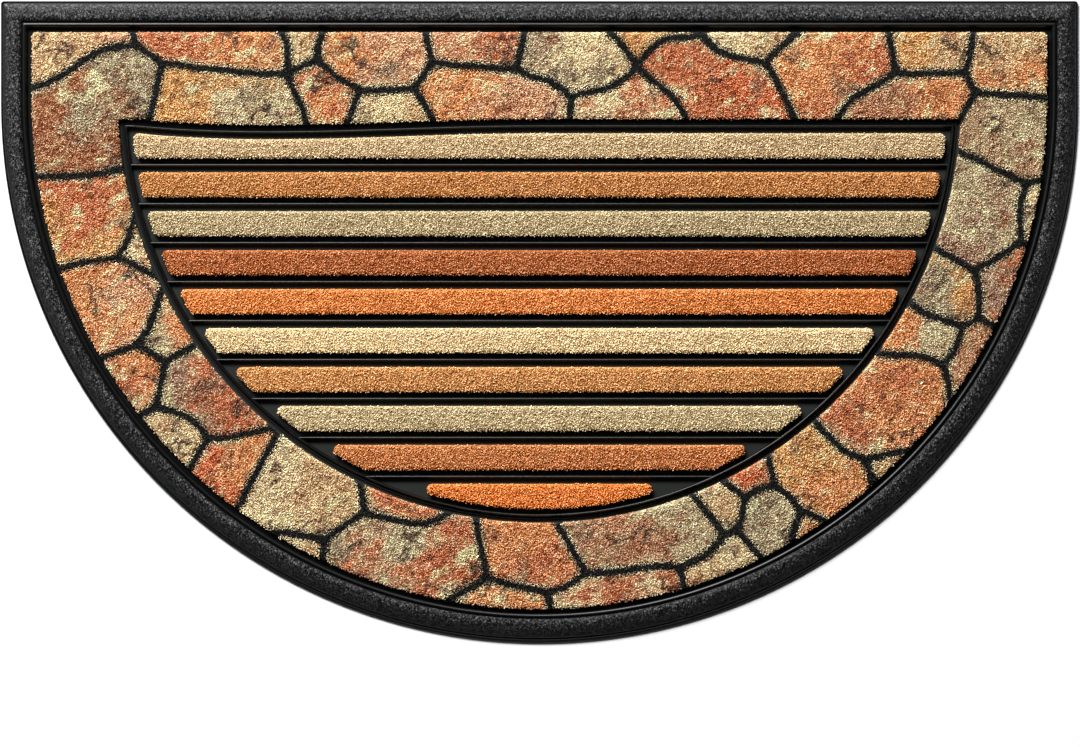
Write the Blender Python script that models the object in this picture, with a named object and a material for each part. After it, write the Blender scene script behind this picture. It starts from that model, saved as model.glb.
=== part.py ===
# Half-round doormat: one moulded rubber tray that carries a ring-shaped pile panel and ten
# straight pile strips. The tray has a thin lip, a crowned rim, a smooth bead, a D-shaped inner
# frame and nine cross ridges.
# Metres. +X runs along the straight edge, +Y points at the straight edge and +Z is up.
# The origin is the middle of the underside.

import math

import bmesh
import bpy

# Outline: straight sides that run on into a half circle, and a straight edge at +Y.
WIDTH = 0.762
DEPTH = 0.4536
EDGE_RADIUS = WIDTH / 2
EDGE_Y = DEPTH / 2
ARC_Y = EDGE_RADIUS - DEPTH / 2
ARC_STEPS = 80
CORNER_STEPS = 4

# All outlines inside the lip are centred a little nearer the straight edge than the mat's own
# edge, so the lip is widest at the middle of the round edge.
INNER_SHIFT = 0.0016
INNER_Y = ARC_Y + INNER_SHIFT

# Heights above the floor that the mat lies on.
TRAY_FLOOR = 0.0030
SEAT_GAP = 0.0003
RING_TOP = 0.0082
STRIP_TOP = 0.0090

# Rim section from the outside in: place, distance in from the edge, height, share of the inner
# shift, corner radius.
RIM = (
    ("foot", 0.0000, 0.0000, 0.0, 0.0022),
    ("lip side", 0.0000, 0.0013, 0.0, 0.0022),
    ("lip edge", 0.0003, 0.0018, 0.2, 0.0022),
    ("lip top", 0.0005, 0.0020, 0.4, 0.0021),
    ("lip fall", 0.0008, 0.0018, 0.7, 0.0021),
    ("crease", 0.0011, 0.0013, 1.0, 0.0021),
    ("crown foot", 0.0014, 0.0026, 1.0, 0.0020),
    ("crown side", 0.0023, 0.0036, 1.0, 0.0020),
    ("crown rise", 0.0043, 0.0050, 1.0, 0.0019),
    ("crown shoulder", 0.0073, 0.0065, 1.0, 0.0018),
    ("crown top", 0.0110, 0.0075, 1.0, 0.0017),
    ("crown fall", 0.0132, 0.0072, 1.0, 0.0015),
    ("crown end", 0.0146, 0.0063, 1.0, 0.0014),
    ("valley", 0.0153, 0.0054, 1.0, 0.0013),
    ("bead side", 0.0159, 0.0062, 1.0, 0.0012),
    ("bead top", 0.0170, 0.0067, 1.0, 0.0012),
    ("bead fall", 0.0182, 0.0061, 1.0, 0.0011),
    ("bead end", 0.0188, 0.0047, 1.0, 0.0010),
    ("groove", 0.0192, TRAY_FLOOR, 1.0, 0.0010),
)

# Ring-shaped pile panel: how far its edge lies in from the rim's edge, and how far its window
# lies out from the frame's crest.
RING_INSET = 0.0219
RING_CORNER = 0.0030
WINDOW_GAP = 0.0049

# Strips. Each is a band cut from a disc, with corners of one radius.
STRIP_COUNT = 10
STRIP_PITCH = 0.02753
STRIP_WIDTH = 0.0182
FIRST_STRIP_Y = 0.12432
STRIP_END_RADIUS = 0.2885
STRIP_CORNER = 0.0040
END_STEPS = 3

# Edge of a pile piece: place, distance in from the piece's side, distance down from its top.
PILE_EDGE = (
    ("side", 0.0000, 0.0026),
    ("turn", 0.0003, 0.0013),
    ("shoulder", 0.0011, 0.0004),
    ("top", 0.0024, 0.0000),
)

# Frame round the strips: the crest's radius, and its top line half a pitch above the strips.
CREST_RADIUS = 0.2927
FRAME_TOP_Y = FIRST_STRIP_Y + STRIP_PITCH / 2
FRAME_ARC_STEPS = 64
TOP_STEPS = 24

# The frame's top line sags on its left half, and so do the pile edges on both sides of it.
SAG_DEPTH = 0.0042
SAG_START_X = -0.285
SAG_END_X = 0.0

# The ridges' roots reach down into the tray's floor.
ROOT_Z = TRAY_FLOOR - 0.0012

# Frame section from the inside out: place, distance out from the crest, height.
FRAME_SECTION = (
    ("inner root", -0.0011, ROOT_Z),
    ("inner foot", -0.0011, 0.0032),
    ("inner side", -0.0010, 0.0056),
    ("crest inside", -0.0004, 0.0064),
    ("crest outside", 0.0004, 0.0064),
    ("outer side", 0.0010, 0.0056),
    ("step foot", 0.0011, 0.0038),
    ("step edge", 0.0028, 0.0042),
    ("outer foot", 0.0032, 0.0032),
    ("outer root", 0.0032, ROOT_Z),
)

# Cross ridge section from the root to the crest: place, half width, height.
RIDGE_SECTION = (
    ("root", 0.0011, ROOT_Z),
    ("foot", 0.0011, 0.0032),
    ("side", 0.0010, 0.0053),
    ("crest", 0.0004, 0.0060),
)

# Finishes: name, linear RGB colour, roughness.
RUBBER = ("rubber", (0.020, 0.021, 0.020), 0.45)
STONE_PRINT = ("stone print pile", (0.48, 0.28, 0.14), 0.95)
STRIP_PILE = (
    ("cream pile", (0.56, 0.39, 0.21), 0.95),
    ("camel pile", (0.52, 0.22, 0.08), 0.95),
    ("grey beige pile", (0.47, 0.35, 0.20), 0.95),
    ("brown pile", (0.41, 0.13, 0.05), 0.95),
    ("orange pile", (0.65, 0.21, 0.07), 0.95),
    ("light cream pile", (0.69, 0.50, 0.27), 0.95),
    ("caramel pile", (0.56, 0.26, 0.10), 0.95),
    ("pale grey beige pile", (0.52, 0.39, 0.22), 0.95),
    ("terracotta pile", (0.51, 0.19, 0.07), 0.95),
    ("deep orange pile", (0.69, 0.21, 0.06), 0.95),
)


def clear_scene():
    for item in list(bpy.data.objects):
        bpy.data.objects.remove(item, do_unlink=True)


def new_collection(name):
    collection = bpy.data.collections.new(name)
    bpy.context.scene.collection.children.link(collection)
    return collection


def make_material(name, colour, roughness):
    material = bpy.data.materials.new(name)
    material.use_nodes = True
    shader = material.node_tree.nodes["Principled BSDF"]
    shader.inputs["Base Color"].default_value = (*colour, 1.0)
    shader.inputs["Roughness"].default_value = roughness
    shader.inputs["Metallic"].default_value = 0.0
    material.diffuse_color = (*colour, 1.0)
    return material


def arc(centre_x, centre_y, radius, start, stop, steps):
    angles = [start + (stop - start) * i / steps for i in range(steps + 1)]
    return [(centre_x + radius * math.cos(a), centre_y + radius * math.sin(a)) for a in angles]


# How far the frame's top line drops at x: a lopsided swell that is steeper on its outer side.
def sag(x):
    t = (x - SAG_START_X) / (SAG_END_X - SAG_START_X)
    return SAG_DEPTH * 6.75 * t * (1 - t) ** 2 if 0 < t < 1 else 0.0


# A D with its straight edge at +Y, anticlockwise: two round corners, then the half circle.
def rim_outline(inset, shift, corner):
    half = EDGE_RADIUS - inset
    x = half - corner
    y = EDGE_Y - inset - corner
    points = arc(x, y, corner, 0, math.pi / 2, CORNER_STEPS)
    points += arc(-x, y, corner, math.pi / 2, math.pi, CORNER_STEPS)
    return points + arc(0, ARC_Y + shift, half, math.pi, 2 * math.pi, ARC_STEPS)


# The frame's outline a distance out from its crest: the sagging top line and the arc under it.
def frame_outline(out):
    radius = CREST_RADIUS + out
    top = FRAME_TOP_Y + out
    half = math.sqrt(radius**2 - (top - INNER_Y) ** 2)
    slope = math.atan2(INNER_Y - top, half)
    across = [half - 2 * half * i / TOP_STEPS for i in range(TOP_STEPS)]
    around = arc(0, INNER_Y, radius, math.pi + slope, 2 * math.pi - slope, FRAME_ARC_STEPS)
    return [(x, top - sag(x)) for x in across] + around[:-1]


# Half the chord at height y of a disc about the inner centre.
def half_chord(radius, y):
    return math.sqrt(radius**2 - (y - INNER_Y) ** 2)


# A strip's outline. Its corners are arcs about the corners of a core that lies one corner
# radius inside it, and its ends follow the disc between them.
def strip_outline(index, inset):
    middle = FIRST_STRIP_Y - index * STRIP_PITCH
    reach = STRIP_WIDTH / 2 - STRIP_CORNER
    corner = STRIP_CORNER - inset
    core = STRIP_END_RADIUS - STRIP_CORNER
    low, high = middle - reach, middle + reach
    low_x, high_x = half_chord(core, low), half_chord(core, high)
    low_angle = math.atan2(low - INNER_Y, low_x)
    high_angle = math.atan2(high - INNER_Y, high_x)
    right = arc(low_x, low, corner, -math.pi / 2, low_angle, CORNER_STEPS)
    right += arc(0, INNER_Y, core + corner, low_angle, high_angle, END_STEPS)[1:-1]
    right += arc(high_x, high, corner, high_angle, math.pi / 2, CORNER_STEPS)
    left = [(-x, y) for x, y in reversed(right)]
    if index > 0:
        return right + left
    steps = range(1, TOP_STEPS)
    across = [high_x - 2 * high_x * i / TOP_STEPS for i in steps]
    return right + [(x, high + corner - sag(x)) for x in across] + left


def edge_loop(mesh, points, z):
    corners = [mesh.verts.new((x, y, z)) for x, y in points]
    return [mesh.edges.new((corners[i - 1], corners[i])) for i in range(len(corners))]


# Joins each outline to the next with a band of faces, and gives the first and last edge loops.
def skin(mesh, outlines):
    loops = [edge_loop(mesh, points, z) for points, z in outlines]
    for lower, upper in zip(loops, loops[1:]):
        bmesh.ops.bridge_loops(mesh, edges=lower + upper)
    return loops[0], loops[-1]


def finish(mesh, name, material, collection):
    bmesh.ops.recalc_face_normals(mesh, faces=mesh.faces)
    data = bpy.data.meshes.new(name)
    mesh.to_mesh(data)
    mesh.free()
    data.shade_smooth()
    data.set_sharp_from_angle(angle=math.radians(35))
    data.materials.append(material)
    item = bpy.data.objects.new(name, data)
    collection.objects.link(item)
    return item


# The tray: its foot and its floor are single faces, and the rim's section lies between them.
def build_tray(material, collection):
    mesh = bmesh.new()
    outlines = [
        (rim_outline(inset, share * INNER_SHIFT, corner), z) for _, inset, z, share, corner in RIM
    ]
    foot, floor = skin(mesh, outlines)
    bmesh.ops.contextual_create(mesh, geom=foot)
    bmesh.ops.contextual_create(mesh, geom=floor)
    return finish(mesh, "rubber_base", material, collection)


# The frame is a closed ring: its last outline is joined to its first one below the floor.
def build_frame(material, collection):
    mesh = bmesh.new()
    outlines = [(frame_outline(out), z) for _, out, z in FRAME_SECTION]
    inner, outer = skin(mesh, outlines)
    bmesh.ops.bridge_loops(mesh, edges=inner + outer)
    return finish(mesh, "frame_ridge", material, collection)


# A cross ridge ends on the frame's crest, so each line of its section has its own length.
def build_ridge(number, material, collection):
    middle = FIRST_STRIP_Y - (number - 0.5) * STRIP_PITCH
    section = [(middle - half, z) for _, half, z in RIDGE_SECTION]
    section += [(middle + half, z) for _, half, z in reversed(RIDGE_SECTION)]
    mesh = bmesh.new()
    ends = []
    for side in (-1, 1):
        corners = [mesh.verts.new((side * half_chord(CREST_RADIUS, y), y, z)) for y, z in section]
        ends.append([mesh.edges.new((corners[i - 1], corners[i])) for i in range(len(corners))])
    bmesh.ops.bridge_loops(mesh, edges=ends[0] + ends[1])
    for edges in ends:
        bmesh.ops.contextual_create(mesh, geom=edges)
    return finish(mesh, f"cross_ridge_{number}", material, collection)


def join_to(base, ridge):
    ridge.hide_render = True
    ridge.display_type = "WIRE"
    union = base.modifiers.new(f"union {ridge.name}", "BOOLEAN")
    union.operation = "UNION"
    union.solver = "EXACT"
    union.object = ridge


def build_strip(index, material, collection):
    outlines = [(strip_outline(index, 0.0), TRAY_FLOOR + SEAT_GAP)]
    outlines += [(strip_outline(index, inset), STRIP_TOP - drop) for _, inset, drop in PILE_EDGE]
    mesh = bmesh.new()
    bottom, top = skin(mesh, outlines)
    bmesh.ops.contextual_create(mesh, geom=bottom)
    bmesh.ops.contextual_create(mesh, geom=top)
    return finish(mesh, f"stripe_{index + 1:02d}", material, collection)


# The ring has an outer and an inner skin, joined by a flat face with a hole at each end.
def build_ring(material, collection):
    seat = TRAY_FLOOR + SEAT_GAP
    outer = [(rim_outline(RING_INSET, INNER_SHIFT, RING_CORNER), seat)]
    inner = [(frame_outline(WINDOW_GAP), seat)]
    for _, inset, drop in PILE_EDGE:
        z = RING_TOP - drop
        outer.append((rim_outline(RING_INSET + inset, INNER_SHIFT, RING_CORNER - inset), z))
        inner.append((frame_outline(WINDOW_GAP + inset), z))
    mesh = bmesh.new()
    outer_bottom, outer_top = skin(mesh, outer)
    inner_bottom, inner_top = skin(mesh, inner)
    for edges in (outer_bottom + inner_bottom, outer_top + inner_top):
        bmesh.ops.triangle_fill(mesh, use_beauty=True, use_dissolve=False, edges=edges)
    return finish(mesh, "stone_pile", material, collection)


def main():
    clear_scene()
    parts = new_collection("half_round_doormat")
    ridges = new_collection("ridges_to_join")
    rubber = make_material(*RUBBER)
    base = build_tray(rubber, parts)
    join_to(base, build_frame(rubber, ridges))
    for number in range(1, STRIP_COUNT):
        join_to(base, build_ridge(number, rubber, ridges))
    build_ring(make_material(*STONE_PRINT), parts)
    for index, finish_row in enumerate(STRIP_PILE):
        build_strip(index, make_material(*finish_row), parts)


main()
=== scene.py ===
import math

import bpy
import numpy as np
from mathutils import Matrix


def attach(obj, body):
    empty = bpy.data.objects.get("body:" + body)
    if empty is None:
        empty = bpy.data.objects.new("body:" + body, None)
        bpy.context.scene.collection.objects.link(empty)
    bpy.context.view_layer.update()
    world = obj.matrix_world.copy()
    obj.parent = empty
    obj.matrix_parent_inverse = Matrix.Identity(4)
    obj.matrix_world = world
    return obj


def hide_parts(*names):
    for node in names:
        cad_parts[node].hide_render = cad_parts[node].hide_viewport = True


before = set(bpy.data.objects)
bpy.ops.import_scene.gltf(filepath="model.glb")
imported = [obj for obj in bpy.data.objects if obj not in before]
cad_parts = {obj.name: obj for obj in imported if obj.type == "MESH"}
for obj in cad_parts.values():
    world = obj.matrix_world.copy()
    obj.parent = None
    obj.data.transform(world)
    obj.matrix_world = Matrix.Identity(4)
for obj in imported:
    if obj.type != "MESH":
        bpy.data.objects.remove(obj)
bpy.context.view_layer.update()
print("frame loaded:", len(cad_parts), "nodes")

# The mat's main sizes in metres. The straight edge is at +Y and the pile faces +Z.
mat = {
    "edgeRadius": 0.381,  # the lip's half circle
    "edgeY": 0.2268,  # the straight edge
    "arcY": 0.1542,  # middle of the half circle
    "innerShift": 0.0016,  # how much nearer the straight edge the inner middle is
    "floorZ": 0.0030,  # the tray's floor
    "rootZ": 0.0018,  # foot of the ridges, inside the floor
    "seatZ": 0.0033,  # underside of the pile
    "crestRadius": 0.2927,  # the frame's crest
    "frameTopY": 0.138085,  # the frame's top line
    "stripPitch": 0.02753,
    "firstStripY": 0.12432,  # middle of the first strip
    "ringInset": 0.0219,  # from the edge to the ring
    "windowGap": 0.0049,  # from the crest to the ring's window
}
mat["innerY"] = mat["arcY"] + mat["innerShift"]


# Camera and light

view = {
    "mmPerPixel": 0.7070, "pixelsAcross": 1080, "lens": 180.0, "sensor": 36.0,
    "middle": (0.0004, -0.0367), "rimZ": 0.004, "clip": (0.1, 30),
}
frameWidth = view["mmPerPixel"] * view["pixelsAcross"] / 1000
distance = frameWidth * view["lens"] / view["sensor"]
cameraData = bpy.data.cameras.new("top_camera")
cameraData.lens = view["lens"]
cameraData.sensor_width = view["sensor"]
cameraData.clip_start, cameraData.clip_end = view["clip"]
camera = bpy.data.objects.new("top_camera", cameraData)
camera.location = (*view["middle"], view["rimZ"] + distance)
bpy.context.scene.collection.objects.link(camera)
bpy.context.scene.camera = camera
bpy.context.scene.view_settings.view_transform = "Standard"

# Softboxes: where each stands, what it is turned to, its width and depth, and its power.
lights = {
    "key_softbox": {"at": (-1.40, 3.10, 2.40), "to": (0, 0, 0), "size": (2.6, 1.3), "power": 590},
    "left_softbox": {"at": (-2.50, 0.20, 1.50), "to": (0, 0, 0), "size": (1.4, 1.4), "power": 4},
}
for name, row in lights.items():
    lamp = bpy.data.lights.new(name, "AREA")
    lamp.shape = "RECTANGLE"
    lamp.size, lamp.size_y = row["size"]
    lamp.energy = row["power"]
    box = bpy.data.objects.new(name, lamp)
    x, y, z = row["at"]
    tx, ty, tz = row["to"]
    flat = math.hypot(tx - x, ty - y)
    box.location = row["at"]
    box.rotation_euler = (math.atan2(flat, z - tz), 0, math.atan2(ty - y, tx - x) - math.pi / 2)
    bpy.context.scene.collection.objects.link(box)

# A faint even light from all round
roomLight = {"colour": (1.0, 1.0, 1.0, 1.0), "strength": 0.03}
room = bpy.data.worlds.new("studio_room")
room.use_nodes = True
roomInputs = room.node_tree.nodes["Background"].inputs
roomInputs["Color"].default_value = roomLight["colour"]
roomInputs["Strength"].default_value = roomLight["strength"]
bpy.context.scene.world = room
print("camera and light set")


# Shader writing

# A node's output. An expression on wires and numbers adds its Math nodes.
class Wire:
    def __init__(self, recipe, socket):
        self.recipe, self.socket = recipe, socket

    def math(self, operation, first, second=0.0):
        return self.recipe.add("ShaderNodeMath", {"operation": operation}, {0: first, 1: second})

    def __add__(self, other):
        return self.math("ADD", self, other)

    def __radd__(self, other):
        return self.math("ADD", other, self)

    def __sub__(self, other):
        return self.math("SUBTRACT", self, other)

    def __rsub__(self, other):
        return self.math("SUBTRACT", other, self)

    def __mul__(self, other):
        return self.math("MULTIPLY", self, other)

    def __rmul__(self, other):
        return self.math("MULTIPLY", other, self)


# One node material. add() makes any node: its type, its settings, then its sockets.
class Recipe:
    def __init__(self, name, fixed):
        self.material = bpy.data.materials.new(name)
        self.material.use_nodes = True
        self.tree = self.material.node_tree
        self.shader = self.tree.nodes["Principled BSDF"]
        for socket, value in fixed.items():
            self.plug(self.shader.inputs[socket], value)

    # A wire is linked to the socket. A number, a colour or a vector is set on it.
    def plug(self, socket, value):
        if isinstance(value, Wire):
            self.tree.links.new(value.socket, socket)
        elif isinstance(value, tuple) and socket.type == "RGBA":
            socket.default_value = (*value, 1.0)
        else:
            socket.default_value = value

    # Another output of the node that a wire comes from.
    def beside(self, wire, out):
        return Wire(self, wire.socket.node.outputs[out])

    def add(self, kind, settings=None, sockets=None, out=0):
        node = self.tree.nodes.new(kind)
        for key, value in (settings or {}).items():
            setattr(node, key, value)
        for key, value in (sockets or {}).items():
            self.plug(node.inputs[key], value)
        return Wire(self, node.outputs[out])

    # Wires into the shader's own sockets, each named with _ for a space
    def put(self, **wires):
        for socket, wire in wires.items():
            self.plug(self.shader.inputs[socket.replace("_", " ")], wire)

    # Object coordinates, in metres
    def place(self):
        return self.add("ShaderNodeTexCoord", out="Object")

    # A value that the mesh carries at its points
    def carried(self, name, out="Fac"):
        return self.add("ShaderNodeAttribute", {"attribute_name": name}, out=out)

    # Noise from 0 to 1. Each value of W gives another pattern.
    def noise(self, where, scale, detail=2.0, rough=0.5, **more):
        sockets = {"Vector": where, "Scale": scale, "Detail": detail, "Roughness": rough}
        settings = {"noise_dimensions": "4D"} if "W" in more else {}
        return self.add("ShaderNodeTexNoise", settings, {**sockets, **more})

    # The first colour at share 0, the second at share 1
    def blend(self, share, first, second):
        settings = {"data_type": "RGBA", "clamp_factor": True}
        return self.add("ShaderNodeMix", settings, {0: share, 6: first, 7: second}, out=2)

    # Vector Math on two colours or vectors
    def vector(self, operation, first, second):
        return self.add("ShaderNodeVectorMath", {"operation": operation}, {0: first, 1: second})

    # A colour or vector times a number
    def scaled(self, colour, value):
        sockets = {0: colour, "Scale": value}
        return self.add("ShaderNodeVectorMath", {"operation": "SCALE"}, sockets)

    # 0 below the low value, 1 above the high one, and an eased step between them
    def step(self, wire, low, high):
        settings = {"interpolation_type": "SMOOTHSTEP"}
        return self.add("ShaderNodeMapRange", settings, {0: wire, 1: low, 2: high})

    # The normal of a relief that is metres high where the height is 1
    def bump(self, height, metres):
        return self.add("ShaderNodeBump", None, {
            "Height": height, "Distance": metres, "Strength": 1.0,
        })

    # A cloth colour with its grain: the square root of the colour moved up or down by the same
    # step in red, green and blue, kept above a darkest root, then squared again.
    def grained(self, colour, shift, darkest=(0.03, 0.02, 0.01)):
        root = self.add("ShaderNodeGamma", None, {"Color": colour, "Gamma": 0.5})
        kept = self.vector("MAXIMUM", self.vector("ADD", root, shift), darkest)
        return self.vector("MULTIPLY", kept, kept)


# sRGB 0 to 255 to the linear values that a shader takes: a power of 2.4 above a straight foot
def linear(colour, gain=1.0):
    c = np.array(colour, float) / 255
    c = np.where(c <= 0.04045, c / 12.92, ((c + 0.055) / 1.055) ** 2.4)
    return tuple(float(v) for v in np.clip(c * gain, 0, 1))


# Meshes from whole arrays

# Points and tables of face corners, one table for each number of corners, put into one mesh.
def putPiece(name, points, tables, material, sharp=None, carried=None):
    mesh = bpy.data.meshes.new(name)
    corners = np.concatenate([t.ravel() for t in tables]).astype(np.int32)
    sizes = np.concatenate([np.full(len(t), t.shape[1]) for t in tables])
    starts = (np.cumsum(sizes) - sizes).astype(np.int32)
    mesh.vertices.add(len(points))
    mesh.vertices.foreach_set("co", np.asarray(points, np.float32).ravel())
    mesh.loops.add(len(corners))
    mesh.loops.foreach_set("vertex_index", corners)
    mesh.polygons.add(len(sizes))
    mesh.polygons.foreach_set("loop_start", starts)
    mesh.update(calc_edges=True)
    mesh.shade_smooth()
    if sharp is not None:
        mesh.set_sharp_from_angle(angle=math.radians(sharp))
    for key, values in (carried or {}).items():
        kind = "FLOAT" if np.ndim(values) == 1 else "FLOAT_VECTOR"
        field = mesh.attributes.new(key, kind, "POINT")
        item = "value" if kind == "FLOAT" else "vector"
        field.data.foreach_set(item, np.asarray(values, np.float32).ravel())
    mesh.materials.append(material)
    piece = bpy.data.objects.new(name, mesh)
    bpy.context.scene.collection.objects.link(piece)
    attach(piece, "root")
    return piece


# Quads of a grid of rows that close on themselves. Row r joins row r + 1, and with wrapRows
# the last row joins the first.
def gridFaces(rows, around, wrapRows=False, first=0):
    r = np.arange(rows if wrapRows else rows - 1)[:, None]
    j = np.arange(around)[None, :]
    up, on = (r + 1) % rows, (j + 1) % around
    quads = np.stack([r * around + j, r * around + on, up * around + on, up * around + j], axis=-1)
    return first + quads.reshape(-1, 4)


# Triangles that close a ring of points on one more point.
def fanFaces(start, around, pole, flip):
    j = np.arange(around)
    fan = np.stack([start + j, start + (j + 1) % around, np.full(around, pole)], axis=-1)
    return fan[:, ::-1] if flip else fan


# A smooth line through the stations. Between two of them it is the cubic whose slope at each
# is half the step from the station before it to the one after it.
def smoothStations(stations, perSpan):
    p = np.array(stations, float)
    wide = np.vstack([2 * p[0] - p[1], p, 2 * p[-1] - p[-2]])
    t = np.arange(perSpan)[None, :, None] / perSpan
    a, b, c, d = (wide[k:k + len(p) - 1][:, None] for k in range(4))
    line = 2 * b + (c - a) * t + (2 * a - 5 * b + 4 * c - d) * t**2 + (3 * b - a - 3 * c + d) * t**3
    return np.vstack([0.5 * line.reshape(-1, p.shape[1]), p[-1]])


# Points on a circle: the middle plus the radius times the cosine and sine of even angles.
def arcPoints(x, y, radius, start, stop, steps):
    a = np.linspace(start, stop, steps + 1)
    return np.stack([x + radius * np.cos(a), y + radius * np.sin(a)], axis=1)


# A D with its straight edge at +Y, anticlockwise: two round corners, then a half circle.
def rimOutline(inset, shift, corner, cornerSteps=6, arcSteps=300):
    half = mat["edgeRadius"] - inset
    x, y = half - corner, mat["edgeY"] - inset - corner
    return np.vstack([
        arcPoints(x, y, corner, 0, math.pi / 2, cornerSteps),
        arcPoints(-x, y, corner, math.pi / 2, math.pi, cornerSteps),
        arcPoints(0, mat["arcY"] + shift, half, math.pi, 2 * math.pi, arcSteps),
    ])


# The frame's top line sags left of the middle. The gain makes the swell's highest value 1.
topSag = {"reach": 0.285, "drop": 0.0042, "gain": 6.75}


# How far the frame's top line drops at x: a lopsided swell, t times (1 - t) squared.
def sag(x):
    t = np.clip((x + topSag["reach"]) / topSag["reach"], 0, 1)
    return topSag["drop"] * topSag["gain"] * t * (1 - t) ** 2


# The frame's outline a distance out from its crest: the sagging top line and the arc below.
def frameOutline(out, topSteps=90, arcSteps=240):
    radius, top = mat["crestRadius"] + out, mat["frameTopY"] + out
    half = math.sqrt(radius**2 - (top - mat["innerY"]) ** 2)
    slope = math.atan2(mat["innerY"] - top, half)
    x = half * (1 - 2 * np.arange(topSteps) / topSteps)
    across = np.stack([x, top - sag(x)], axis=1)
    start, stop = math.pi + slope, 2 * math.pi - slope
    return np.vstack([across, arcPoints(0, mat["innerY"], radius, start, stop, arcSteps)[:-1]])


# Half the chord at height y of a disc about the inner middle.
def halfChord(radius, y):
    return np.sqrt(radius**2 - (y - mat["innerY"]) ** 2)


# Strips: corner radius, half width without the corners, radius of the disc that ends them.
stripShape = {"corner": 0.0040, "halfCore": 0.0051, "endRadius": 0.2885}


# A strip's outline: arcs about the corners of a core that lies one corner radius inside it,
# ends that follow the disc, and on the first strip a top side with the frame's sag.
def stripOutline(index, inset, cornerSteps=5, endSteps=8, topSteps=90):
    corner = stripShape["corner"] - inset
    core = stripShape["endRadius"] - stripShape["corner"]
    middle = mat["firstStripY"] - index * mat["stripPitch"]
    low, high = middle - stripShape["halfCore"], middle + stripShape["halfCore"]
    lowX, highX = halfChord(core, low), halfChord(core, high)
    lowTurn = math.atan2(low - mat["innerY"], lowX)
    highTurn = math.atan2(high - mat["innerY"], highX)
    right = np.vstack([
        arcPoints(lowX, low, corner, -math.pi / 2, lowTurn, cornerSteps),
        arcPoints(0, mat["innerY"], core + corner, lowTurn, highTurn, endSteps)[1:-1],
        arcPoints(highX, high, corner, highTurn, math.pi / 2, cornerSteps),
    ])
    x = highX * (1 - 2 * np.arange(1, topSteps) / topSteps)
    top = np.stack([x, high + corner - (sag(x) if index == 0 else 0 * x)], axis=1)
    return np.vstack([right, top, right[::-1] * (-1, 1)])


# A profile carried round an outline: each row of stations gives one closed ring of points.
def carriedRows(outlines, heights):
    return np.stack([
        np.column_stack([line, np.full(len(line), z)]) for line, z in zip(outlines, heights)
    ])


# Rubber

# The rubber's tones, its noises by scale, detail and roughness, the leather's lift and the
# painted shade in its pits, its roughness and its relief
rubberLook = {
    "crown": (18, 18, 19), "smooth": (6, 7, 7), "floor": (14, 18, 15),
    "cloud": (40.0, 3.0, 0.55), "mould": (500.0, 2.0, 0.5),
    "cloudLow": 0.88, "cloudSpan": 0.24, "crownLift": 1.6, "pitShade": 2.5,
    "rough": 0.35, "leatherRough": 0.05, "floorRough": 0.25, "cloudRough": 0.04,
    "pitDepth": -0.20, "mouldHeight": 0.03, "bumpMetres": 0.0006,
}
leatherGrain = {
    "cellsPerMetre": 1300.0, "slant": -0.35, "stretch": 1.3, "bendScale": 340.0,
    "bendMetres": 0.0010, "pits": (0.32, 0.62), "tilt": 1.1,
}


# Leather on the crown: small pebbles from a cell pattern on bent coordinates, lighter than the
# smooth rubber, with painted shade in the pits between them. Each pebble's face leans its own
# way, by a vector from the cell's random colour that is added to the normal. The bead, the
# ridges and the floor are smooth with a faint mould mark.
def rubberFinish():
    r = Recipe("moulded_rubber", {"IOR": 1.5, "Specular IOR Level": 0.25})
    look, where = rubberLook, r.place()
    leather, floor = r.carried("leather"), r.carried("floor")
    bend = r.beside(r.noise(where, leatherGrain["bendScale"]), "Color")
    bent = r.vector("ADD", where, r.scaled(bend, leatherGrain["bendMetres"]))
    slanted = r.add("ShaderNodeMapping", {"vector_type": "TEXTURE"}, {
        "Vector": bent, "Rotation": (0.0, 0.0, leatherGrain["slant"]),
        "Scale": (1.0, leatherGrain["stretch"], 1.0),
    })
    pebbles = r.add("ShaderNodeTexVoronoi", {"feature": "F1"}, {
        "Vector": slanted, "Scale": leatherGrain["cellsPerMetre"],
    })
    centred = r.vector("SUBTRACT", r.beside(pebbles, "Color"), (0.5, 0.5, 0.5))
    cloud, mould = r.noise(where, *look["cloud"]), r.noise(where, *look["mould"])
    pits = r.step(pebbles, *leatherGrain["pits"])
    relief = leather * pits * look["pitDepth"] + (1 - leather) * mould * look["mouldHeight"]
    tone = r.blend(leather, linear(look["smooth"]), linear(look["crown"]))
    tone = r.blend(floor, tone, linear(look["floor"]))
    clouded = look["cloudLow"] + cloud * look["cloudSpan"]
    # The leather's lift, less the painted shade in the pits between the pebbles
    tone = r.scaled(tone, clouded * (1 + leather * (look["crownLift"] - pits * look["pitShade"])))
    rough = look["rough"] + leather * look["leatherRough"] + floor * look["floorRough"]
    rough = rough + cloud * look["cloudRough"]
    tilt = r.scaled(centred, leather * leatherGrain["tilt"])
    leaning = r.vector("ADD", r.bump(relief, look["bumpMetres"]), tilt)
    normal = r.add("ShaderNodeVectorMath", {"operation": "NORMALIZE"}, {0: leaning})
    r.put(Base_Color=tone, Roughness=rough, Normal=normal)
    return r.material


rubber = rubberFinish()

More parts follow.
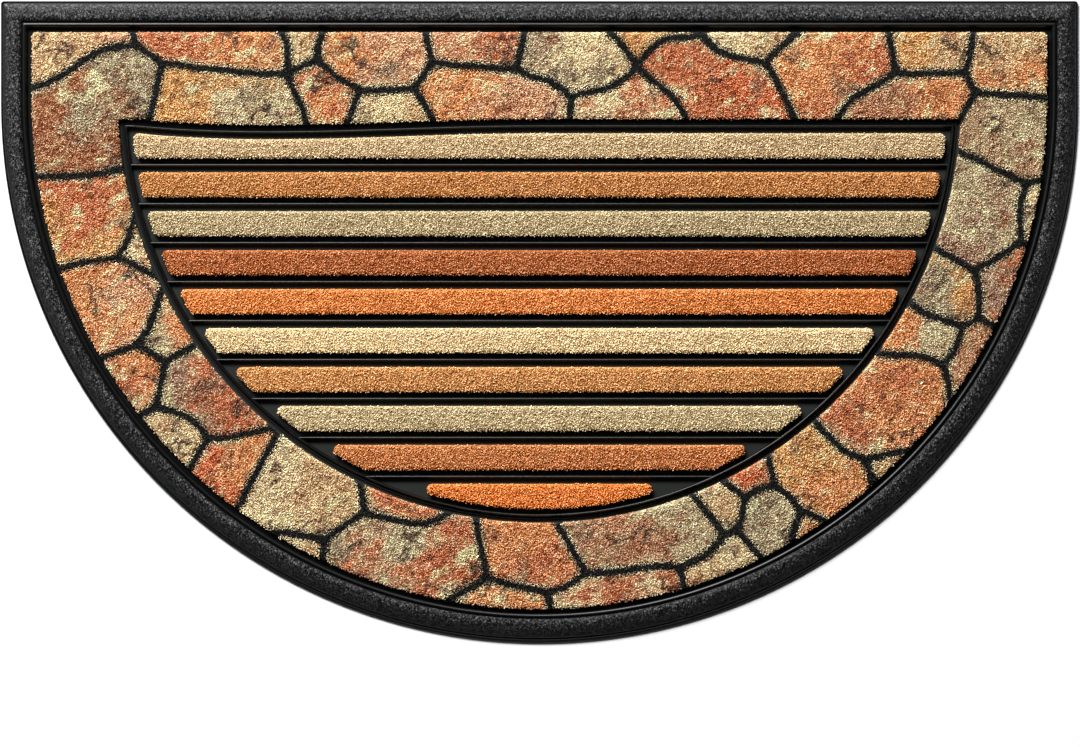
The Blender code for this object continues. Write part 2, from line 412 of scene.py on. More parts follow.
# Tray: distance in from the edge, height, share of the inner shift, corner radius, leather.
tray = {
    "perSpan": 4,
    "foot": (0.0000, 0.0000, 0.0, 0.0022, 0.0),
    "stations": (
        (0.0000, 0.0013, 0.0, 0.0022, 0.0),
        (0.0003, 0.0018, 0.2, 0.0022, 0.0),
        (0.0005, 0.0020, 0.4, 0.0021, 0.0),
        (0.0008, 0.0018, 0.7, 0.0021, 0.0),
        (0.0011, 0.0013, 1.0, 0.0021, 0.0),
        (0.0014, 0.0026, 1.0, 0.0020, 0.0),
        (0.0023, 0.0036, 1.0, 0.0020, 0.2),
        (0.0043, 0.0050, 1.0, 0.0019, 0.6),
        (0.0073, 0.0065, 1.0, 0.0018, 0.9),
        (0.0110, 0.0075, 1.0, 0.0017, 1.0),
        (0.0132, 0.0072, 1.0, 0.0015, 1.0),
        (0.0146, 0.0063, 1.0, 0.0014, 0.7),
        (0.0153, 0.0054, 1.0, 0.0013, 0.0),
        (0.0159, 0.0062, 1.0, 0.0012, 0.0),
        (0.0170, 0.0067, 1.0, 0.0012, 0.0),
        (0.0182, 0.0061, 1.0, 0.0011, 0.0),
        (0.0188, 0.0047, 1.0, 0.0010, 0.0),
    ),
    "groove": (0.0192, 0.0030, 1.0, 0.0010, 0.0),
    "floorSteps": 5,
    "middleY": 0.03,
    "sharpDegrees": 40,
}


# The rim's section carried round the D, closed below by the foot and above by the floor.
def makeTray():
    line = smoothStations(tray["stations"], tray["perSpan"])
    line = np.vstack([tray["foot"], line, tray["groove"]])
    rows = carriedRows(
        [rimOutline(p[0], p[2] * mat["innerShift"], p[3]) for p in line], line[:, 1]
    )
    below = np.array([0, tray["middleY"], 0])
    above = below + (0, 0, mat["floorZ"])
    shares = np.linspace(1, 0, tray["floorSteps"] + 1)[1:-1, None, None]
    floorRows = rows[-1] * shares + (1 - shares) * above
    around = rows.shape[1]
    rows = np.vstack([rows, floorRows])
    points = np.vstack([rows.reshape(-1, 3), below, above])
    last = (len(rows) - 1) * around
    leather = np.concatenate([
        np.repeat(np.clip(line[:, 4], 0, 1), around), np.zeros(len(floorRows) * around + 2),
    ])
    # The floor's tone starts past the groove, which keeps the darker smooth tone as painted shade
    onFloor = np.zeros(len(points))
    onFloor[len(line) * around:] = 1
    tables = [
        gridFaces(len(rows), around),
        fanFaces(0, around, len(points) - 2, True),
        fanFaces(last, around, len(points) - 1, False),
    ]
    carried, sharp = {"leather": leather, "floor": onFloor}, tray["sharpDegrees"]
    piece = putPiece("rubber_tray", points, tables, rubber, sharp, carried)
    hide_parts("rubber_base")
    return piece


rubberTray = makeTray()
print("tray made:", len(rubberTray.data.polygons), "faces")

# Frame ridge: distance out from the crest, height, and 1 where the surface is dull like the
# floor's. The crest is round and the step is crisp.
frameRidge = {
    "stations": (
        (-0.0011, 0.0032, 0), (-0.0010, 0.0055, 0), (-0.00045, 0.00625, 0),
        (-0.00018, 0.00645, 0), (0.0, 0.0065, 0), (0.00018, 0.00645, 0), (0.00045, 0.0062, 0),
        (0.0010, 0.0055, 0), (0.0011, 0.0038, 0), (0.0028, 0.0042, 0.3), (0.0032, 0.0032, 0.3),
    ),
    "sharpDegrees": 35,
}


# The ridge's section carried round the frame's outline, closed on itself below the floor.
def makeFrameRidge():
    line = np.array(frameRidge["stations"])
    roots = line[[0, -1]] * (1, 0, 1) + (0, mat["rootZ"], 0)
    line = np.vstack([roots[0], line, roots[1]])[::-1]
    rows = carriedRows([frameOutline(out) for out in line[:, 0]], line[:, 1])
    tables = [gridFaces(*rows.shape[:2], wrapRows=True)]
    dull = np.repeat(line[:, 2], rows.shape[1])
    carried, sharp = {"leather": 0 * dull, "floor": dull}, frameRidge["sharpDegrees"]
    return putPiece("rubber_frame", rows.reshape(-1, 3), tables, rubber, sharp, carried)


makeFrameRidge()

# Cross ridges: half width, height from the foot to the crest.
crossRidge = {
    "count": 9,
    "lengthSteps": 24,
    "stations": (
        (0.0011, 0.0032), (0.0010, 0.0053), (0.0006, 0.0059), (0.00025, 0.0061), (0.0001, 0.00615),
    ),
    "sharpDegrees": 35,
}


# Each section point runs from one side of the crest's circle to the other, so every ridge has
# slanted ends. The nine are one mesh.
def makeCrossRidges():
    half = np.vstack([(crossRidge["stations"][0][0], mat["rootZ"]), crossRidge["stations"]])
    section = np.vstack([half * (-1, 1), half[::-1]])
    numbers = np.arange(1, crossRidge["count"] + 1)
    middles = mat["firstStripY"] - (numbers - 0.5) * mat["stripPitch"]
    y = middles[:, None, None] + section[None, None, :, 0]
    along = np.linspace(1, -1, crossRidge["lengthSteps"] + 1)[None, :, None]
    x = along * halfChord(mat["crestRadius"], y)
    y, z = np.broadcast_to(y, x.shape), np.broadcast_to(section[:, 1], x.shape)
    points = np.stack([x, y, z], axis=-1)
    steps, around = x.shape[1:]
    each = steps * around
    sides = np.vstack([gridFaces(steps, around, first=k * each) for k in range(len(numbers))])
    starts = np.arange(len(numbers))[:, None] * each
    rightEnds = starts + np.arange(around)[None, ::-1]
    leftEnds = starts + each - around + np.arange(around)[None, :]
    none = np.zeros(len(numbers) * each)
    return putPiece(
        "rubber_cross_ridges", points.reshape(-1, 3), [sides, rightEnds, leftEnds], rubber,
        crossRidge["sharpDegrees"], {"leather": none, "floor": none},
    )


makeCrossRidges()
print("ridges made")


# Pile

# A pile piece's edge: distance in from its side, drop below its top. Then the bed under the
# tufts and the tufts' own sizes.
pile = {
    "edge": ((0.0000, 0.0026), (0.0003, 0.0013), (0.0011, 0.0004), (0.0024, 0.0000)),
    "bedDrop": 0.0013,  # from the tips to the bed
    "bedInset": 0.0004,
    "bedSharpDegrees": 40,
    "pitch": 0.00100,  # from tuft to tuft
    "jitter": 0.46,  # share of the pitch
    "margin": 0.00045,  # from the side to the first tuft
    "tuftLength": 0.0030,
    "ridge": (0.00018, 0.00050),  # half length of a tip
    "footHalf": 0.00080,
    "lean": 0.00032,  # to any side
    "nap": (0.0, -0.00045),  # the way that all tips lean
    "edgeLean": 0.00030,  # outwards at the side
    "edgeReach": 0.0020,  # how far in from the side
    "tipSpread": 0.00022,  # up and down
    "tipDip": 0.0003,  # of a tip's ends
}


# How far inside an outline each point lies, negative outside, with the direction to the
# nearest side. The nearest point on each segment is the clipped projection on it. The points
# are taken in blocks, to save memory.
def insideDistance(points, outline, perBlock=4000):
    tiny, touching = 1e-18, 1e-9
    a, b = outline, np.roll(outline, -1, axis=0)
    run = b - a
    length = np.maximum((run**2).sum(1), tiny)
    depth, toSide = np.empty(len(points)), np.empty((len(points), 2))
    for chosen in np.array_split(np.arange(len(points)), max(1, len(points) // perBlock)):
        p = points[chosen][:, None]
        t = np.clip(((p - a) * run).sum(2) / length, 0, 1)
        away = a + t[..., None] * run - p
        square = (away**2).sum(2)
        near = square.argmin(1)
        picked = np.arange(len(chosen))
        crossed = (a[:, 1] > p[..., 1]) != (b[:, 1] > p[..., 1])
        slope = run[:, 0] / np.where(run[:, 1] == 0, tiny, run[:, 1])
        right = p[..., 0] < a[:, 0] + (p[..., 1] - a[:, 1]) * slope
        inside = (crossed & right).sum(1) % 2 == 1
        far = np.sqrt(square[picked, near])
        depth[chosen] = np.where(inside, far, -far)
        toSide[chosen] = away[picked, near] / np.maximum(far, touching)[:, None]
    return depth, toSide


# Random places on a grid of triangles: rows a pitch apart, every other one moved half a pitch,
# and each point moved at random inside its cell.
def scatter(low, high, rng):
    pitch = pile["pitch"]
    x = np.arange(low[0], high[0], pitch)
    y = np.arange(low[1], high[1], pitch * math.sqrt(3) / 2)
    gx, gy = np.meshgrid(x, y)
    gx = gx + pitch / 2 * (np.arange(len(y)) % 2)[:, None]
    points = np.stack([gx.ravel(), gy.ravel()], axis=1)
    return points + rng.uniform(-1, 1, points.shape) * pitch * pile["jitter"]


# One tuft is four triangles: a short ridge at its tip and a foot that crosses under it. The
# tip leans with the nap, at random, and outwards near the piece's side. Its height follows the
# rounded edge.
def tuftPoints(places, depth, toSide, top, rng):
    count = len(places)
    edge = np.array(pile["edge"])
    tip = top - np.interp(depth, edge[:, 0], edge[:, 1]) + rng.normal(0, pile["tipSpread"], count)
    turn = rng.uniform(0, 2 * math.pi, count)
    along = np.stack([np.cos(turn), np.sin(turn)], axis=1)
    across = np.stack([-along[:, 1], along[:, 0]], axis=1)
    lean = rng.normal(0, pile["lean"], (count, 2)) + pile["nap"]
    lean += toSide * (pile["edgeLean"] * np.exp(-depth / pile["edgeReach"]))[:, None]
    half = rng.uniform(*pile["ridge"], count)[:, None] * along
    foot = pile["footHalf"] * across
    dip = rng.uniform(0, pile["tipDip"], (count, 2))
    root = np.maximum(tip - pile["tuftLength"], mat["seatZ"])
    corners = np.empty((count, 4, 3))
    corners[:, 0, :2], corners[:, 0, 2] = places + lean + half, tip - dip[:, 0]
    corners[:, 1, :2], corners[:, 1, 2] = places + lean - half, tip - dip[:, 1]
    corners[:, 2, :2], corners[:, 2, 2] = places + foot, root
    corners[:, 3, :2], corners[:, 3, 2] = places - foot, root
    return corners


# Tufts at all places in one mesh, with their lower faces listed before their upper ones. Their
# OFBake map looks straight down on them.
def makeTufts(name, corners, material, carried):
    count = len(corners)
    base = 4 * np.arange(count)[:, None]
    lower = np.vstack([base + (0, 3, 2), base + (1, 2, 3)])
    upper = np.vstack([base + (0, 2, 1), base + (0, 1, 3)])
    points = corners.reshape(-1, 3)
    values = {key: np.repeat(v, 4, axis=0) for key, v in carried.items()}
    # 1 at a tuft's tips and 0 at its foot, for the painted shade towards the roots
    values["tip"] = np.tile((1.0, 1.0, 0.0, 0.0), count)
    piece = putPiece(name, points, [lower, upper], material, None, values)
    low, high = points[:, :2].min(0), points[:, :2].max(0)
    flat = (points[:, :2] - low) / (high - low)
    index = np.vstack([lower, upper]).ravel()
    piece.data.uv_layers.new(name="OFBake").data.foreach_set(
        "uv", flat[index].astype(np.float32).ravel()
    )
    return piece


# The cross product of each pair of flat vectors
def cross(first, second):
    return first[:, 0] * second[:, 1] - first[:, 1] * second[:, 0]


# Area of a closed outline: half the sum of its cross products.
def outlineArea(line):
    return 0.5 * float(cross(line, np.roll(line, -1, axis=0)).sum())


# Noises in the pile and in its bed: scale, detail, roughness. The grain's weights are those of
# a tuft's own shade, its clump and its fibres. The middle is half their sum, so the grain
# leaves the mean colour alone. The painted shade at the roots and on the bed, and the dye's
# patches, are each their lowest value and what they gain above that.
pileNoise = {
    "patch": (45.0, 3.0, 0.55), "clump": (650.0, 2.0, 0.6), "fibre": (1700.0, 2.0, 0.6),
    "felt": (900.0, 3.0, 0.6), "speckle": (430.0, 3.0, 0.6),
}
pileGrain = {"tuft": 0.54, "clump": 0.7, "fibre": 0.4, "middle": 0.82}
paintedShadeAndDye = {"tip": (0.62, 0.38), "patch": (0.86, 0.28), "felt": (0.22, 0.30)}


# Pile colour: painted shade that darkens a tuft towards its root, full colour at its tip, with
# its own shade for each tuft, finer fibres in it and slow patches from the dyeing.
def pileFinish(name, colour):
    r = Recipe(name, {"Roughness": 0.85, "Specular IOR Level": 0.25, "Sheen Weight": 0.05})
    where = r.place()
    tip, tone = r.carried("tip"), r.carried("tone")
    patch, clump, fibre = (r.noise(where, *pileNoise[k]) for k in ("patch", "clump", "fibre"))
    w = pileGrain
    grain = tone * w["tuft"] + clump * w["clump"] + fibre * w["fibre"] - w["middle"]
    (rootShadeLow, rootShadeGain), (patchLow, patchGain) = paintedShadeAndDye["tip"], paintedShadeAndDye["patch"]
    # Painted shade towards the roots, times the slow patches from the dyeing
    shade = (rootShadeLow + tip * rootShadeGain) * (patchLow + patch * patchGain)
    r.put(Base_Color=r.scaled(r.grained(colour, grain), shade))
    return r.material


# The bed under the tufts: the same colour darkened as painted shade between the tufts, varied by
# the felt noise that also gives the felted roots their bump.
def bedInPaintedShade(name, colour):
    r = Recipe(name, {"Roughness": 0.95, "Specular IOR Level": 0.15})
    felt, feltMetres = r.noise(r.place(), *pileNoise["felt"]), 0.0004
    low, gain = paintedShadeAndDye["felt"]
    r.put(Base_Color=r.scaled(colour, low + felt * gain), Normal=r.bump(felt, feltMetres))
    return r.material


# Strips: name, record slot, dyed colour. The colours are what the eye sees, before the shade
# between the tufts.
strips = {
    "top": 0.0090,
    "gain": 1.46,
    "seed": 100,
    "rows": (
        ("stripe_01", "cream_pile", (193, 168, 129)),
        ("stripe_02", "camel_pile", (186, 129, 74)),
        ("stripe_03", "grey_beige_pile", (183, 164, 127)),
        ("stripe_04", "brown_pile", (174, 104, 57)),
        ("stripe_05", "orange_pile", (210, 133, 70)),
        ("stripe_06", "light_cream_pile", (220, 191, 148)),
        ("stripe_07", "caramel_pile", (198, 144, 88)),
        ("stripe_08", "pale_grey_beige_pile", (192, 172, 133)),
        ("stripe_09", "terracotta_pile", (191, 124, 72)),
        ("stripe_10", "deep_orange_pile", (216, 131, 63)),
    ),
}


# A strip's bed is a closed slab under its outline. Its tufts stand on it up to the strip's top.
def makeStrip(index, node, slot, colour):
    rng = np.random.default_rng(strips["seed"] + index)
    outline = stripOutline(index, 0.0)
    edge = np.array(pile["edge"])
    insets = edge[:, 0] + pile["bedInset"]
    heights = strips["top"] - edge[:, 1] - pile["bedDrop"]
    lines = [stripOutline(index, inset) for inset in (insets[0], *insets)]
    rows = carriedRows(lines, (mat["seatZ"], *heights))
    around = rows.shape[1]
    ends = np.arange(around)[None]
    tables = [gridFaces(len(rows), around), ends[:, ::-1], ends + (len(rows) - 1) * around]
    dyed, sharp = linear(colour, strips["gain"]), pile["bedSharpDegrees"]
    bed = putPiece(
        f"{node}_bed", rows.reshape(-1, 3), tables, bedInPaintedShade(f"{slot}_bed", dyed), sharp,
    )
    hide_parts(node)
    low, high = outline.min(0), outline.max(0)
    places = scatter(low, high, rng)
    depth, toSide = insideDistance(places, outline)
    kept = depth > pile["margin"]
    places, depth, toSide = places[kept], depth[kept], toSide[kept]
    corners = tuftPoints(places, depth, toSide, strips["top"], rng)
    tufts = makeTufts(
        f"{node}_tufts", corners, pileFinish(slot, dyed), {"tone": rng.random(len(places))},
    )
    outlineArea(lines[0])
    return len(places)


made = [makeStrip(index, *row) for index, row in enumerate(strips["rows"])]
print("strips made:", sum(made), "tufts")


# Stone print

# Stones: middle and half length in millimetres, tilt in degrees, half width, main tone, second
# tone, and the side that the second tone lies on, in degrees from +X. Each is a fat line.
stones = {
    "jointHalf": 2.45,
    "rounding": 1.2,  # how softly the joints meet
    "bends": ((60.0, 1.6), (19.0, 0.6), (5.5, 0.4)),  # cell and amount, in millimetres
    "bendSeeds": (11, 31),
    "phaseStep": 7.3,  # between the noise patterns of two stones
    "shiftY": 0.7,
    "rows": (
        (-324, 194, 19, 12, 15, "sand", "pink", 0),
        (-315, 151, 20, 42, 32, "clay", "olive", 20),
        (-232, 199, 38, -12, 14, "rust", "orange", 0),
        (-223, 151, 29, -3, 27, "ochre", "greyCream", 0),
        (-166, 197, 7, 90, 7, "cream", "sand", 0),
        (-153, 162, 5, -50, 20, "rust", "orange", -90),
        (-118, 189, 18, 0, 21, "pink", "orange", 180),
        (-107, 149, 18, 0, 12, "cream", "sand", 0),
        (-43, 197, 18, 0, 17, "pink", "rust", 0),
        (-34, 160, 30, -6, 22, "orange", "pink", 0),
        (22, 186, 18, -15, 22, "olive", "cream", 0),
        (59, 155, 16, 0, 16, "cream", "rust", 90),
        (81, 203, 14, 0, 10, "ochre", "pink", 0),
        (124, 172, 30, -22, 20, "brick", "rust", 180),
        (151, 199, 16, 0, 11, "cream", "sand", 0),
        (206, 183, 20, 10, 24, "orange", "rust", 0),
        (274, 192, 10, 0, 15, "ochre", "sand", 0),
        (262, 158, 20, 0, 17, "brown", "orange", 0),
        (333, 183, 2, 0, 26, "sand", "orange", -90),
        (330, 131, 2, 0, 32, "dun", "greyCream", 0),
        (-322, 73, 5, 0, 28, "ochre", "rust", 90),
        (-284, 58, 5, 90, 6, "cream", "orange", 0),
        (-306, 12, 2, 0, 32, "orange", "pink", 0),
        (-263, -7, 6, 70, 12, "greyCream", "orange", 0),
        (-284, -39, 2, 0, 19, "orange", "rust", 180),
        (-236, -53, 14, -35, 22, "rust", "mauve", 180),
        (-256, -80, 2, 0, 17, "cream", "sand", 0),
        (-217, -101, 2, 0, 21, "brick", "orange", 0),
        (-167, -122, 14, -10, 28, "cream", "sand", 0),
        (-171, -158, 8, -25, 9, "cream", "sand", 0),
        (-108, -126, 20, -25, 9, "orange", "rust", 0),
        (-96, -165, 32, -5, 24, "greyCream", "rust", -60),
        (-6, -165, 15, -18, 21, "rust", "orange", 90),
        (-22, -198, 25, 0, 7, "cream", "orange", 0),
        (51, -190, 36, 8, 11, "cream", "rust", 0),
        (72, -149, 31, 4, 24, "brown", "greyCream", 0),
        (127, -130, 2, 0, 15, "cream", "sand", 0),
        (163, -141, 5, 90, 18, "olive", "greyCream", 0),
        (129, -172, 14, 25, 12, "sand", "cream", 0),
        (151, -108, 8, 30, 8, "brick", "rust", 0),
        (199, -106, 12, -40, 26, "ochre", "orange", -90),
        (244, -103, 2, 0, 10, "ochre", "sand", 0),
        (222, -123, 16, 35, 6, "pink", "mauve", 0),
        (189, -148, 5, 30, 8, "orange", "ochre", 0),
        (245, -58, 16, 20, 32, "rust", "orange", 0),
        (312, 80, 12, 90, 29, "mauve", "greyCream", 90),
        (345, 77, 6, 90, 8, "sand", "cream", 0),
        (327, 31, 14, 100, 17, "mauve", "rust", 0),
        (288, 23, 3, 90, 21, "olive", "ochre", 0),
        (270, -11, 8, 0, 18, "orange", "greyCream", 0),
        (301, -34, 18, 62, 15, "sand", "brown", 0),
    ),
    "tones": {
        "sand": (208, 176, 132), "cream": (224, 202, 160), "ochre": (212, 162, 102),
        "orange": (218, 152, 98), "rust": (198, 122, 80), "brick": (206, 116, 70),
        "pink": (214, 166, 128), "olive": (168, 150, 120), "greyCream": (196, 178, 142),
        "mauve": (168, 134, 108), "brown": (186, 134, 98), "clay": (166, 108, 70),
        "dun": (176, 142, 108),
    },
    "gain": 1.34,
}


# Smooth noise from -1 to 1: seeded values on a grid that repeats, joined by an eased step in
# each cell.
def softNoise(x, y, cell, seed, size=64, start=500):
    table = np.random.default_rng(seed).random((size, size))
    gx, gy = x / cell + start, y / cell + start
    ix, iy = np.floor(gx).astype(int), np.floor(gy).astype(int)
    fx, fy = gx - ix, gy - iy
    fx, fy = fx * fx * (3 - 2 * fx), fy * fy * (3 - 2 * fy)
    steps = ((0, 0), (1, 0), (0, 1), (1, 1))
    v = [table[(ix + dx) % size, (iy + dy) % size] for dx, dy in steps]
    low, high = v[0] + (v[1] - v[0]) * fx, v[2] + (v[3] - v[2]) * fx
    return 2 * (low + (high - low) * fy) - 1


# For each place the stone that it lies in and the distance to the joint. A place belongs to
# the fat line with the least squared distance less squared half width. The distance to the
# border with another line is half the difference of the two over the distance between their
# nearest points, and a soft minimum over all of them rounds the stones' corners.
def stonePrint(places):
    x, y = places[:, 0] * 1000, places[:, 1] * 1000 + stones["shiftY"]
    bentX, bentY = x.copy(), y.copy()
    seedX, seedY = stones["bendSeeds"]
    for number, (cell, amount) in enumerate(stones["bends"]):
        bentX += amount * softNoise(x, y, cell, seedX + number)
        bentY += amount * softNoise(x, y, cell, seedY + number)
    atX, atY, along, tilt, across = np.array([row[:5] for row in stones["rows"]], float).T
    ux, uy = np.cos(np.radians(tilt)), np.sin(np.radians(tilt))
    dx, dy = bentX[:, None] - atX, bentY[:, None] - atY
    t = np.clip(dx * ux + dy * uy, -along, along)
    nearX, nearY = atX + t * ux, atY + t * uy
    power = (bentX[:, None] - nearX) ** 2 + (bentY[:, None] - nearY) ** 2 - across**2
    mine = power.argmin(1)
    picked = np.arange(len(places))
    apart = np.hypot(nearX - nearX[picked, mine][:, None], nearY - nearY[picked, mine][:, None])
    least, never = 1e-3, 1e3
    border = (power - power[picked, mine][:, None]) / (2 * np.maximum(apart, least))
    border[picked, mine] = never
    k = stones["rounding"]
    joint = -k * np.log(np.exp(-border / k).sum(1))
    dyes = {name: linear(colour, stones["gain"]) for name, colour in stones["tones"].items()}
    main, second = (np.array([dyes[row[place]] for row in stones["rows"]]) for place in (5, 6))
    side = np.radians(np.array([row[7] for row in stones["rows"]], float))
    lean = (dx * np.cos(side) + dy * np.sin(side))[picked, mine] / (along + across)[mine]
    return {
        "joint": joint, "lean": lean, "phase": mine * stones["phaseStep"],
        "mainTone": main[mine], "secondTone": second[mine],
    }


# Noises in the print: scale, detail, roughness, and how far each stone's pattern is moved on.
printNoise = {
    "cloud": (24.0, 4.0, 0.6, 0.0), "veins": (62.0, 5.0, 0.65, 3.1),
    "mottle": (150.0, 4.0, 0.65, 7.9), "crackLine": (34.0, 3.0, 0.55, 9.0),
    "ash": (34.0, 3.0, 0.6, 5.7), "crackPlace": (30.0, 1.0, 0.5, 12.0),
}

# Patches in the print: colour, its gain, where the noise behind the patch starts to show and
# where it is full, and the strength there.
printPatches = {
    "ash": ((150, 134, 108), 1.3, 0.54, 0.68, 0.6),
    "rustVein": ((158, 86, 48), 1.1, 0.54, 0.66, 0.7),
    "paleVein": ((238, 210, 166), 1.45, 0.47, 0.34, 0.8),
    "darkSpot": ((128, 80, 52), 1.0, 0.51, 0.66, 0.65),
    "paleSpot": ((242, 216, 172), 1.35, 0.47, 0.32, 0.6),
}

# The streaks, the second tone, the pale rim along the joints, the cracks, the joints and the
# painted shade at the tufts' roots. The rim's reach and the joints' edges are in millimetres.
printLook = {
    "streakTurn": 0.6, "streakWidth": 0.65,
    "secondTone": (0.42, 0.60), "secondLean": 0.15,
    "rimTone": (238, 212, 170), "rimGain": 1.35, "rimReach": (2.8, 0.8),
    "rimBreaks": (0.40, 0.56), "rimShare": 0.6,
    "crackTone": (88, 56, 40), "crackWidth": (0.030, 0.012), "crackBreaks": (0.54, 0.60),
    "crackShare": 0.8,
    "jointTone": (9, 12, 9), "fleckTone": (70, 74, 64), "flecks": (0.82, 0.98),
    "jointSoft": 0.9, "fleckRagged": 1.1, "speckleRagged": 1.2,
    "rootShade": 0.55, "rootShadeGain": 0.45,
}
# The grain's weights, as in the plain pile, with a speckle for the clump.
printGrain = {"tuft": 0.50, "fibre": 0.45, "speckle": 0.9, "middle": 0.925}


# Stone colour: two tones of each stone mixed by streaked noise that leans to one side, with
# grey, rust and cream patches, paler along the joints, short thin cracks, and a near-black
# joint with pale specks and a ragged edge.
def stoneFinish():
    r = Recipe("stone_print", {"Roughness": 0.85, "Specular IOR Level": 0.25, "Sheen Weight": 0.05})
    look, where = printLook, r.place()
    tip, tone, fleck = r.carried("tip"), r.carried("tone"), r.carried("fleck")
    joint, lean, phase = r.carried("joint"), r.carried("lean"), r.carried("phase")
    main, second = r.carried("mainTone", "Vector"), r.carried("secondTone", "Vector")
    streak = r.add("ShaderNodeMapping", {"vector_type": "TEXTURE"}, {
        "Vector": where, "Rotation": (0.0, 0.0, look["streakTurn"]),
        "Scale": (1.0, look["streakWidth"], 1.0),
    })

    # A noise with each stone's own pattern
    def ownNoise(name, at):
        *shape, start = printNoise[name]
        return r.noise(at, *shape, W=phase + start)

    # A patch laid over the colour below it
    def patched(below, name, noise):
        colour, gain, starts, full, strength = printPatches[name]
        return r.blend(r.step(noise, starts, full) * strength, below, linear(colour, gain))

    cloud, veins, mottle = (ownNoise(name, streak) for name in ("cloud", "veins", "mottle"))
    ash = ownNoise("ash", where)
    mixed = r.blend(r.step(cloud + lean * look["secondLean"], *look["secondTone"]), main, second)
    mixed = patched(mixed, "ash", ash)
    mixed = patched(mixed, "rustVein", veins)
    mixed = patched(mixed, "paleVein", veins)
    half = stones["jointHalf"]
    far, near = look["rimReach"]
    rim = r.step(joint, half + far, half + near) * r.step(ash, *look["rimBreaks"])
    mixed = r.blend(rim * look["rimShare"], mixed, linear(look["rimTone"], look["rimGain"]))
    mixed = patched(mixed, "darkSpot", mottle)
    mixed = patched(mixed, "paleSpot", mottle)
    crackLine, crackPlace = ownNoise("crackLine", streak), ownNoise("crackPlace", where)
    apart = r.add("ShaderNodeMath", {"operation": "ABSOLUTE"}, {0: crackLine - 0.5})
    crack = r.step(apart, *look["crackWidth"]) * r.step(crackPlace, *look["crackBreaks"])
    mixed = r.blend(crack * look["crackShare"], mixed, linear(look["crackTone"]))
    speckle, fibre = (r.noise(where, *pileNoise[name]) for name in ("speckle", "fibre"))
    w = printGrain
    grain = tone * w["tuft"] + fibre * w["fibre"] + speckle * w["speckle"] - w["middle"]
    flecked = r.step(fleck, *look["flecks"])
    inJoint = r.blend(flecked, linear(look["jointTone"]), linear(look["fleckTone"]))
    ragged = joint + (fleck - 0.5) * look["fleckRagged"]
    ragged = ragged + (speckle - 0.5) * look["speckleRagged"]
    onStone = r.step(ragged, half - look["jointSoft"], half + look["jointSoft"])
    shown = r.blend(onStone, inJoint, r.grained(mixed, grain))
    # Painted shade towards the tufts' roots, as in the plain pile
    r.put(Base_Color=r.scaled(shown, look["rootShade"] + tip * look["rootShadeGain"]))
    return r.material


# The radius at each angle from a middle to an outline round it: where the ray meets the side.
def rayPoints(outline, middle, angles):
    p = outline - middle
    turn = np.unwrap(np.arctan2(p[:, 1], p[:, 0]))
    a, b = p, np.roll(p, -1, axis=0)
    lapped = (angles - turn[0]) % (2 * math.pi) + turn[0]
    k = np.clip(np.searchsorted(turn, lapped, side="right") - 1, 0, len(p) - 1)
    ray = np.stack([np.cos(angles), np.sin(angles)], axis=1)
    run = b[k] - a[k]
    reach = cross(a[k], run) / cross(ray, run)
    return middle + ray * reach[:, None]


# The ring of stone-print pile
ring = {
    "seed": 7,
    "top": 0.0082,
    "corner": 0.0030,
    "middle": (0.0, 0.02),  # the bed's profile is carried round this point
    "bands": 26,  # across the bed's top
    "straightHalf": 0.355,  # extra columns along the straight edge
    "straightPoints": 150,
    "jointWider": 2.0,  # millimetres on each side
    # On the bed a tip below 0 paints shade between the tufts, darker than any root
    "bedShadeValues": {"tip": -0.4, "tone": 0.4, "fleck": 0.3},
    "nearSide": 0.008,  # where the exact distance to a side is needed
    "splitY": 0.115,
}


# The ring's bed: a profile that goes up its outer side, over the top and down into the window,
# carried round the middle, closed on itself. Its top is cut into bands so that it can carry
# the print too, darkened as painted shade between the tufts. The joints are 2 mm wider on each
# side here, so that none falls between two points.
def makeStoneBed(finish):
    edge = np.array(pile["edge"])
    insets = edge[:, 0] + pile["bedInset"]
    heights = ring["top"] - edge[:, 1] - pile["bedDrop"]
    middle = np.array(ring["middle"])
    outer = [
        rimOutline(mat["ringInset"] + inset, mat["innerShift"], ring["corner"] - inset)
        for inset in (insets[0], *insets)
    ]
    inner = [frameOutline(mat["windowGap"] + inset) for inset in (*insets[::-1], insets[0])]
    across = np.linspace(-ring["straightHalf"], ring["straightHalf"], ring["straightPoints"])
    straight = np.stack([across, np.full(len(across), outer[0][:, 1].max())], axis=1)
    turns = [np.arctan2(*(line - middle).T[::-1]) for line in (outer[0], inner[0], straight)]
    angles = np.unique(np.round(np.concatenate(turns) % (2 * math.pi), 6))
    rows = carriedRows(
        [rayPoints(line, middle, angles) for line in (*outer, *inner)],
        (mat["seatZ"], *heights, *heights[::-1], mat["seatZ"]),
    )
    last = len(outer) - 1
    shares = np.linspace(0, 1, ring["bands"] + 1)[1:-1, None, None]
    bands = rows[last] * (1 - shares) + rows[last + 1] * shares
    rows = np.vstack([rows[:last + 1], bands, rows[last + 1:]])
    points = rows.reshape(-1, 3)
    values = stonePrint(points)
    values["joint"] -= ring["jointWider"]
    for key, value in ring["bedShadeValues"].items():
        values[key] = np.full(len(points), value)
    tables, sharp = [gridFaces(*rows.shape[:2], wrapRows=True)], pile["bedSharpDegrees"]
    bed = putPiece("stone_bed", points, tables, finish, sharp, values)
    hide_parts("stone_pile")
    return bed, outer[0], inner[-1]


# About how far inside the ring a place lies: the least of its distances to the straight edge,
# to the half circle, and to the window's top line and arc.
def ringDepth(places):
    x, y = places.T
    inset, gap = mat["ringInset"], mat["windowGap"]
    toBend = mat["edgeRadius"] - inset - np.hypot(x, np.minimum(y - mat["innerY"], 0))
    toEdge = np.minimum(mat["edgeY"] - inset - y, toBend)
    toArc = np.hypot(x, y - mat["innerY"]) - mat["crestRadius"] - gap
    toTop = y - mat["frameTopY"] - gap + sag(x)
    return np.minimum(toEdge, np.maximum(toArc, toTop))


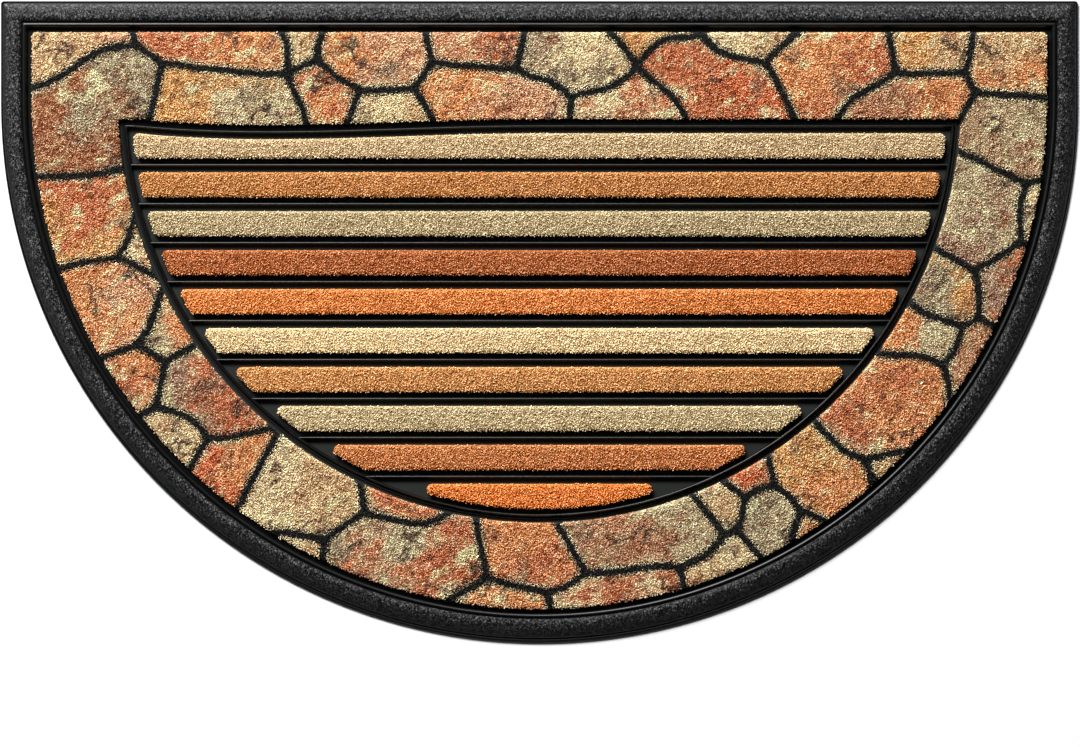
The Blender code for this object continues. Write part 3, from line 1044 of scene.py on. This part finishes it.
# Tufts all over the ring, in four pieces by the sides of the two splitting lines.
def makeStonePile():
    rng = np.random.default_rng(ring["seed"])
    finish = stoneFinish()
    bed, outerLine, innerLine = makeStoneBed(finish)
    outer = rimOutline(mat["ringInset"], mat["innerShift"], ring["corner"])
    inner = frameOutline(mat["windowGap"])
    places = scatter(outer.min(0), outer.max(0), rng)
    places = places[ringDepth(places) > -ring["nearSide"]]
    depth, toSide = ringDepth(places), np.zeros(places.shape)
    close = np.flatnonzero(depth < ring["nearSide"])
    outDepth, outSide = insideDistance(places[close], outer)
    inDepth, inSide = insideDistance(places[close], inner)
    nearer = -inDepth < outDepth
    depth[close] = np.where(nearer, -inDepth, outDepth)
    toSide[close] = np.where(nearer[:, None], inSide, outSide)
    kept = depth > pile["margin"]
    places, depth, toSide = places[kept], depth[kept], toSide[kept]
    corners = tuftPoints(places, depth, toSide, ring["top"], rng)
    values = stonePrint(places)
    values["tone"], values["fleck"] = rng.random((2, len(places)))
    left, upper = places[:, 0] < 0, places[:, 1] > ring["splitY"]
    quarters = {
        "top_left": left & upper, "top_right": ~left & upper,
        "low_left": left & ~upper, "low_right": ~left & ~upper,
    }
    tufts = [
        makeTufts(
            f"stone_tufts_{name}", corners[part], finish,
            {key: v[part] for key, v in values.items()},
        )
        for name, part in quarters.items()
    ]
    outlineArea(outerLine) - outlineArea(innerLine)
    return [int(part.sum()) for part in quarters.values()]


print("stone print made:", makeStonePile(), "tufts")


# Floor

ground = {"half": 6.0, "z": -0.0003, "tones": ((0.66, 0.66, 0.66), (0.68, 0.68, 0.68))}


# One pale square just under the mat, with slow clouds between its two tones.
def makeFloor():
    r = Recipe("studio_floor", {"Roughness": 0.9, "Specular IOR Level": 0.1})
    r.put(Base_Color=r.blend(r.noise(r.place(), 3.0), *ground["tones"]))
    mesh = bpy.data.meshes.new("studio_floor")
    h, z = ground["half"], ground["z"]
    mesh.from_pydata([(-h, -h, z), (h, -h, z), (h, h, z), (-h, h, z)], [], [(0, 1, 2, 3)])
    mesh.materials.append(r.material)
    floor = bpy.data.objects.new("studio_floor", mesh)
    bpy.context.scene.collection.objects.link(floor)


makeFloor()
